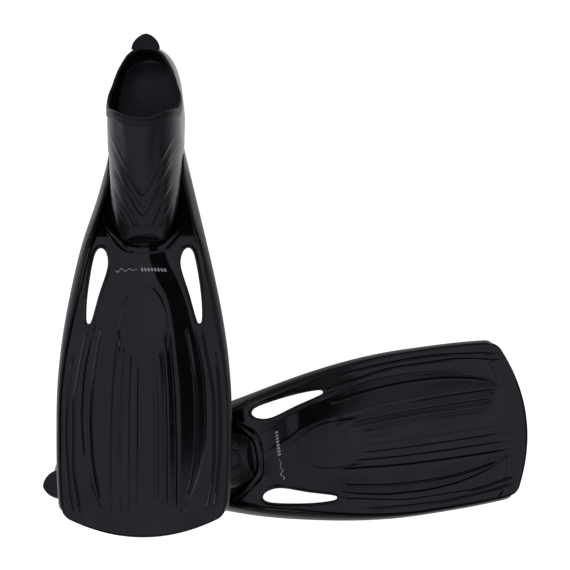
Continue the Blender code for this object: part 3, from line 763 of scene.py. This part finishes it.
V_SLOPE = 2.15
V_ROUNDING = 7.0           # radius at the point of each V


def instep_relief(x, y, z):
    """Height of the nested V shaped steps, in millimetres."""
    x = np.abs(x)
    run = y + V_SLOPE * (np.hypot(x, V_ROUNDING) - V_ROUNDING)
    raised = 1.3 * ridge(run - 195.0, 4.2)
    for low, high in ((197.0, 221.0), (221.0, 246.0), (246.0, 268.0)):
        t = np.clip((run - low) / (high - low), 0.0, 1.0)
        raised += 1.5 * t ** 1.4 * (1.0 - step((t - 0.84) / 0.16))
        raised += 0.7 * ridge(run - 0.5 * (low + high), 3.4)
    high_up = step((z - pocket_floor(y) - 10.0) / 8.0) * (1.0 - 0.75 * step((x - 27.0) / 13.0))
    return raised * high_up * step((y - 112.0) / 16.0) * (1.0 - step((y - 227.0) / 8.0))


def skin_normals(points, faces):
    """The direction square to the skin at each of its points."""
    corners = points[faces]
    across = np.cross(corners[:, 2] - corners[:, 0], corners[:, 3] - corners[:, 1])
    normals = np.zeros(points.shape)
    for k in range(4):
        np.add.at(normals, faces[:, k], across)
    return normals / np.maximum(np.linalg.norm(normals, axis=1, keepdims=True), 1e-9)


MID_HEIGHT = 40.0
normals = skin_normals(outer, outer_faces)
if (normals[:, 2] * (outer[:, 2] - MID_HEIGHT)).sum() < 0.0:
    normals = -normals
outer = outer + normals * instep_relief(*outer.T)[:, None]
faces = outer_faces.tolist() + (inner_faces[:, ::-1] + base).tolist()
faces += bridge(rim, inner_rim + base).tolist() + bridge(slot, inner_slot + base)[:, ::-1].tolist()
faces += [heel_ring[::-1].tolist(), (inner_heel + base).tolist()]
pocket_mesh = mesh_of("foot_pocket", np.vstack((outer, inner)), faces)


# The inner skin is the second material, the lining. It is the same rubber as the outside but
# rougher, and its darker colour is painted shade inside the pocket.
lined = len(outer_faces)
for polygon in pocket_mesh.polygons[lined:lined + len(inner_faces)]:
    polygon.material_index = 1
face_outwards(pocket_mesh, weld=0.00001)
pocket_rubber = satin_rubber("satin_pocket_rubber", "#141416", "#1e1e22", 0.32, 0.7, 0.16)
# The lining's dark colour is painted shade, not a different rubber.
lining_rubber_painted_shade = satin_rubber("lining_with_painted_shade", "#070708", "#0c0c0e", 0.85, 1.5, 0.6)
on_both_fins("foot_pocket", pocket_mesh, "foot_pocket", [pocket_rubber, lining_rubber_painted_shade])


# ---- opening cuffs --------------------------------------------------------------------------
# A matt rubber band moulded over the edge of the ankle opening. It is 9 mm wide over the instep
# and thins along the sides to a bead at the heel.
CUFF_BEAD, CUFF_WIDENING = 2.2, 7.0
OVER_ANKLE = Vector((0.0, 60.0, 130.0))
SMOOTHING_ROUNDS = 30
tree_of_skin = BVHTree.FromPolygons([Vector(p) for p in outer], outer_faces.tolist())
rim_points = outer[rim]
rim_points = rim_points[np.linalg.norm(rim_points - np.roll(rim_points, 1, axis=0), axis=1) > 0.05]
count = len(rim_points)
frames = []
for i in range(count):
    here = Vector(rim_points[i])
    ahead = Vector(rim_points[(i + 2) % count]) - Vector(rim_points[(i - 2) % count])
    ahead.normalize()
    _, normal, _, _ = tree_of_skin.find_nearest(here)
    if normal.dot(here - Vector((0.0, here.y, MID_HEIGHT))) < 0.0:
        normal = -normal
    away = ahead.cross(normal).normalized()
    if away.dot(here - OVER_ANKLE) < 0.0:
        away = -away
    frames.append((*normal, *away))
# The band leans smoothly from one direction to the next, also round the corners.
smooth = np.array(frames)
for _ in range(SMOOTHING_ROUNDS):
    smooth = 0.5 * smooth + 0.25 * (np.roll(smooth, 1, axis=0) + np.roll(smooth, -1, axis=0))
cuff_rings = []
for i in range(count):
    here = Vector(rim_points[i])
    normal, away = Vector(smooth[i, :3]).normalized(), Vector(smooth[i, 3:]).normalized()
    wide = CUFF_BEAD + CUFF_WIDENING * float(step((here.y - 24.0) / 68.0))
    ring = []
    for along, out in ((-0.9, -2.2), (-1.3, -1.2), (-1.2, 0.2), (-0.6, 1.1), (0.4, 1.5),
                       (wide * 0.5, 1.5), (wide - 0.6, 1.35), (wide, 0.9), (wide + 0.15, -0.4),
                       (wide * 0.5, -0.6), (0.6, -0.6), (0.5, -2.0)):
        spot = here + away * along
        found, face_normal, _, _ = tree_of_skin.find_nearest(spot)
        if face_normal.dot(normal) < 0.0:
            face_normal = -face_normal
        if along < 0.3 or found is None:
            found, face_normal = spot, normal
        ring.append(found + face_normal * out)
    cuff_rings.append(ring)
cuff_points = np.array([[tuple(p) for p in ring] for ring in cuff_rings])
rows, around = cuff_points.shape[:2]
index = np.arange(rows * around).reshape(rows, around)
loop = np.roll(index, -1, axis=0)
cuff_faces = np.stack((index, np.roll(index, -1, axis=1), np.roll(loop, -1, axis=1), loop), axis=2)
cuff_mesh = mesh_of("opening_cuff", cuff_points.reshape(-1, 3), cuff_faces.reshape(-1, 4))
cuff_mesh = face_outwards(cuff_mesh)
cuff_rubber = satin_rubber("matt_cuff_rubber", "#101011", "#18181a", 0.46, 0.5, 0.3)
on_both_fins("opening_cuff", cuff_mesh, "opening_cuff", [cuff_rubber])


# ---- heel tabs ------------------------------------------------------------------------------
# A round-ended tab on the back of the heel, to pull the shoe on by. It is of the same rubber,
# with a coarse grain from the mould for grip, and curves up a little.
TAB_LENGTH = 21.3
TAB_HALF_WIDTH = 18.4
TAB_HALF_THICKNESS = 1.9
TAB_LEVEL = 59.0
TAB_CORNERS = 36
tab_rings = []
for y in np.concatenate((np.linspace(1.5, -16.0, 20), np.linspace(-16.7, -20.2, 8), [-20.3])):
    reach = max(0.0, (1.0 - y) / TAB_LENGTH)
    half = TAB_HALF_WIDTH * (1.0 - min(reach, 0.9985) ** 1.9) ** 0.62
    thick = TAB_HALF_THICKNESS * (1.0 - 0.3 * reach) * math.sqrt(max(1.0 - reach ** 9, 0.02))
    ring = []
    for k in range(TAB_CORNERS):
        turn = 2.0 * math.pi * k / TAB_CORNERS
        c, s = math.cos(turn), math.sin(turn)
        x = half * math.copysign(abs(c) ** 0.45, c)
        z = thick * math.copysign(abs(s) ** 0.8, s)
        bowl = 0.12 * max(-y, 0.0) + 0.006 * x * x * (1.0 - reach)
        ring.append((x, y, TAB_LEVEL + bowl + z))
    tab_rings.append(ring)
tab_mesh = face_outwards(tube("heel_tab", np.array(tab_rings)))
tab_rubber = satin_rubber("grained_tab_rubber", "#232326", "#323237", 0.5, 1.3, 0.8)
on_both_fins("heel_tab", tab_mesh, "heel_tab", [tab_rubber])


# ---- outsoles -------------------------------------------------------------------------------
# A thin sole of hard-wearing matt rubber bonded under the shank, with a plain border and
# chevron bars, for walking to the water.
SOLE_START_Y, SOLE_END_Y = -5.0, 234.0
SOLE_THICKNESS = 3.2
GROOVE_DEPTH = 1.5
BAR_SPACING = 8.0
PLAIN_BORDER = 4.0
sole_y = np.linspace(SOLE_START_Y, SOLE_END_Y, 300)
sole_half = through(POCKET_HALF_WIDTH, sole_y) * FLAT_SHARE
sole_half *= 1.0 - 0.55 * step((4.0 - sole_y) / 9.0)
sole_half *= 1.0 - 0.35 * step((sole_y - 220.0) / 14.0)
sx = sole_half[:, None] * np.linspace(-1.0, 1.0, 81)
sy = np.repeat(sole_y[:, None], 81, axis=1)
inset = np.minimum(sole_half[:, None] - np.abs(sx), np.minimum(sy - SOLE_START_Y, SOLE_END_Y - sy))
from_bar = np.abs(np.mod(sy + 0.55 * np.abs(sx), BAR_SPACING) - BAR_SPACING / 2)
groove = GROOVE_DEPTH * step((from_bar - 2.4) / 0.7) * step((inset - PLAIN_BORDER) / 1.0)
sole_top = keel(sy) - SHEET / 2 - 0.1
under = np.stack((sx, sy, sole_top - SOLE_THICKNESS + groove), axis=2).reshape(-1, 3)
points, faces = thicken(under, grid_faces(*sx.shape), np.array((0.0, 0.0, 0.0)))
points[len(under):, 2] = sole_top.ravel()
outsole_mesh = face_outwards(mesh_of("outsole", points, faces))
outsole_rubber = satin_rubber("matt_outsole_rubber", "#101011", "#1a1a1c", 0.62, 0.6, 0.5)
on_both_fins("outsole", outsole_mesh, "outsole", [outsole_rubber])


# ---- insoles --------------------------------------------------------------------------------
# A soft footbed that turns up a little along its edges. It is dimpled in rings under the heel
# and in rows further forward, so that a wet foot doesn't slip.
PAD_Y = 49.0               # the middle of the rings
RING_SPACING = 4.6
ROW_SPACING, COLUMN_SPACING = 7.0, 8.0
DIMPLE_DEPTH = 1.2
BED_THICKNESS = 2.4
BED_SHARE = 0.90
BED_COLUMNS = 121
BED_END_Y = -6.5
BED_ROUNDING = 16.0        # length of the rounded end at the heel
heel_turn = np.linspace(0.05, math.pi / 2, 40)
bed_y = np.concatenate((BED_END_Y + BED_ROUNDING * (1.0 - np.cos(heel_turn))[:-1],
                        np.linspace(BED_END_Y + BED_ROUNDING, 90.0, 138),
                        np.linspace(90.8, 222.0, 130)))
inner_half = through(POCKET_HALF_WIDTH, bed_y) - WALL
from_end = np.clip(1.0 - (bed_y - BED_END_Y) / BED_ROUNDING, 0.0, 1.0)
bed_half = inner_half * BED_SHARE * np.sqrt(1.0 - from_end ** 2)
bed_half *= 1.0 - 0.35 * step((bed_y - 208.0) / 14.0)
bx = bed_half[:, None] * np.linspace(-1.0, 1.0, BED_COLUMNS)
by = np.repeat(bed_y[:, None], BED_COLUMNS, axis=1)
ring = np.round(np.hypot(bx, by - PAD_Y) / RING_SPACING)
spokes = np.maximum(ring * 6.0, 1.0)
turn = np.round(np.arctan2(by - PAD_Y, bx) / (2 * math.pi) * spokes) / spokes * 2 * math.pi
out = RING_SPACING * ring
ring_far = np.hypot(bx - out * np.cos(turn), by - PAD_Y - out * np.sin(turn))
row = np.round(by / ROW_SPACING)
column = np.round(bx / COLUMN_SPACING - 0.5 * (row % 2)) + 0.5 * (row % 2)
row_far = np.hypot(bx - column * COLUMN_SPACING, by - row * ROW_SPACING)
far = np.where(ring < 6.0, ring_far, np.where(by > PAD_Y, row_far, 9.0))
edge_in = bed_half[:, None] - np.abs(bx)
dimple = DIMPLE_DEPTH * ridge(far, 1.5) * step((edge_in - 3.0) / 2.0)
share = np.clip(np.abs(bx) / inner_half[:, None], 0.0, 0.999)
bend = np.arcsin(np.clip((share - FLAT_SHARE) / (1.0 - FLAT_SHARE), 0.0, 0.999))
bed_floor = pocket_floor(by) + WALL + 12.0 * (1.0 - np.cos(bend))
piping = 0.7 * ridge(edge_in - 1.6, 1.6)
top = np.stack((bx, by, bed_floor + BED_THICKNESS - dimple + piping), axis=2).reshape(-1, 3)
points, faces = thicken(top, grid_faces(*bx.shape), np.array((0.0, 0.0, 0.0)))
points[len(top):, 2] = (bed_floor + 0.3).ravel()
insole_mesh = face_outwards(mesh_of("insole", points, faces))
insole_rubber = satin_rubber("dimpled_insole_rubber", "#333337", "#505056", 0.48, 2.6, 0.5)
on_both_fins("insole", insole_mesh, "insole", [insole_rubber])


# ---- floor, light and camera ----------------------------------------------------------------
scene = bpy.context.scene
scene.view_settings.view_transform = "Standard"
FLOOR = 6000.0             # half its side, in millimetres
FLOOR_Z = -0.5
corners = [(x, y, FLOOR_Z) for x, y in ((-FLOOR, -FLOOR), (FLOOR, -FLOOR),
                                        (FLOOR, FLOOR), (-FLOOR, FLOOR))]
floor_mesh = mesh_of("floor", corners, ((0, 1, 2, 3),))
floor = bpy.data.objects.new("floor", floor_mesh)
scene.collection.objects.link(floor)
# White table paper, lit so well that it glows: the black fins stand out against it.
white, tree, _ = start_material("white_table")
paper = node(tree, "ShaderNodeBsdfPrincipled", inputs={
    "Base Color": linear("#f4f4f4"), "Roughness": 0.8,
    "Emission Color": (1.0, 1.0, 1.0, 1.0), "Emission Strength": 1.0})
finish_material(tree, paper)
floor_mesh.materials.append(white)


def uneven_cloth(lamp, tubes):
    """Lets a box's tubes show through its cloth as soft stripes, and dims one end of it."""
    lamp.use_nodes = True
    tree = lamp.node_tree
    across = node(tree, "ShaderNodeSeparateXYZ", inputs={
        "Vector": node(tree, "ShaderNodeNewGeometry").outputs["Parametric"]})
    turn = node(tree, "ShaderNodeMath", {"operation": "MULTIPLY"},
                {0: across.outputs["X"], 1: 2 * math.pi * tubes})
    stripe = node(tree, "ShaderNodeMath", {"operation": "COSINE"}, {0: turn.outputs["Value"]})
    bright = node(tree, "ShaderNodeMath", {"operation": "MULTIPLY_ADD"},
                  {0: stripe.outputs["Value"], 1: 0.2, 2: 1.0})
    shade = node(tree, "ShaderNodeMapRange", {"interpolation_type": "SMOOTHSTEP"}, {
        "Value": across.outputs["Y"], "From Min": 0.64, "From Max": 0.86,
        "To Min": 1.04, "To Max": 0.6})
    both = node(tree, "ShaderNodeMath", {"operation": "MULTIPLY"},
                {0: bright.outputs["Value"], 1: shade.outputs["Result"]})
    tree.links.new(both.outputs["Value"], tree.nodes["Emission"].inputs["Strength"])


def soft_box(name, spot, aim, size, glow, tubes):
    """A rectangular studio lamp behind white cloth. Its glow is its brightness, 1 for white."""
    lamp = bpy.data.lights.new(name, "AREA")
    lamp.shape = "RECTANGLE"
    lamp.size, lamp.size_y = size
    lamp.color = (0.97, 0.95, 1.14)
    lamp.energy = glow * math.pi * size[0] * size[1]
    if tubes:
        uneven_cloth(lamp, tubes)
    thing = bpy.data.objects.new(name, lamp)
    thing.location = spot
    thing.rotation_euler = (Vector(aim) - Vector(spot)).to_track_quat("-Z", "Y").to_euler()
    thing.visible_camera = False
    scene.collection.objects.link(thing)


# Four boxes hang overhead, with a dark gap to the right of the camera, and point straight down
# but for a hair. Each row holds the name, the middle, the size, the glow and the tubes.
BOX_HEIGHT = 2.2
for name, x, y, size, glow, tubes in (("box_over", -0.76, -0.10, (1.68, 3.6), 0.47, 7),
                                      ("box_over_right", 1.25, -0.93, (1.2, 1.95), 0.50, 5),
                                      ("box_over_front", 0.36, -1.11, (0.56, 1.5), 0.44, 0),
                                      ("box_over_far", 1.20, 0.33, (1.30, 0.44), 0.42, 0)):
    soft_box(name, (x, y, BOX_HEIGHT), (x, y - 0.0001, 0.0), size, glow, tubes)
# Three low ones stand on three sides and catch the edges.
soft_box("box_left", (-2.0, 0.3, 1.0), (-0.2, 0.1, 0.0), (0.7, 1.5), 1.3, 0)
soft_box("box_front", (0.2, -2.2, 1.0), (0.0, 0.0, 0.0), (1.8, 0.7), 0.9, 0)
soft_box("box_right", (2.1, 0.4, 0.9), (0.0, 0.1, 0.0), (0.5, 1.2), 0.9, 0)

# The walls of the studio are dark, so that black rubber reads as black. Seen past the object
# they are pale.
world = bpy.data.worlds.new("studio")
world.use_nodes = True
world.node_tree.nodes.clear()
seen = node(world.node_tree, "ShaderNodeLightPath").outputs["Is Camera Ray"]
wall = node(world.node_tree, "ShaderNodeMapRange", inputs={
    "Value": seen, "To Min": 0.025, "To Max": 1.0})
air = node(world.node_tree, "ShaderNodeBackground", inputs={
    "Color": (1.0, 1.0, 1.0, 1.0), "Strength": wall.outputs["Result"]})
node(world.node_tree, "ShaderNodeOutputWorld", inputs={"Surface": air.outputs["Background"]})
scene.world = world

# The camera looks straight down from above the pair.
CAMERA_HEIGHT = 1.6
camera_data = bpy.data.cameras.new("camera")
camera_data.lens = 75.84
camera_data.sensor_width = 36.0
camera = bpy.data.objects.new("camera", camera_data)
camera.location = (-0.0065, -0.0040, CAMERA_HEIGHT)
scene.collection.objects.link(camera)
scene.camera = camera
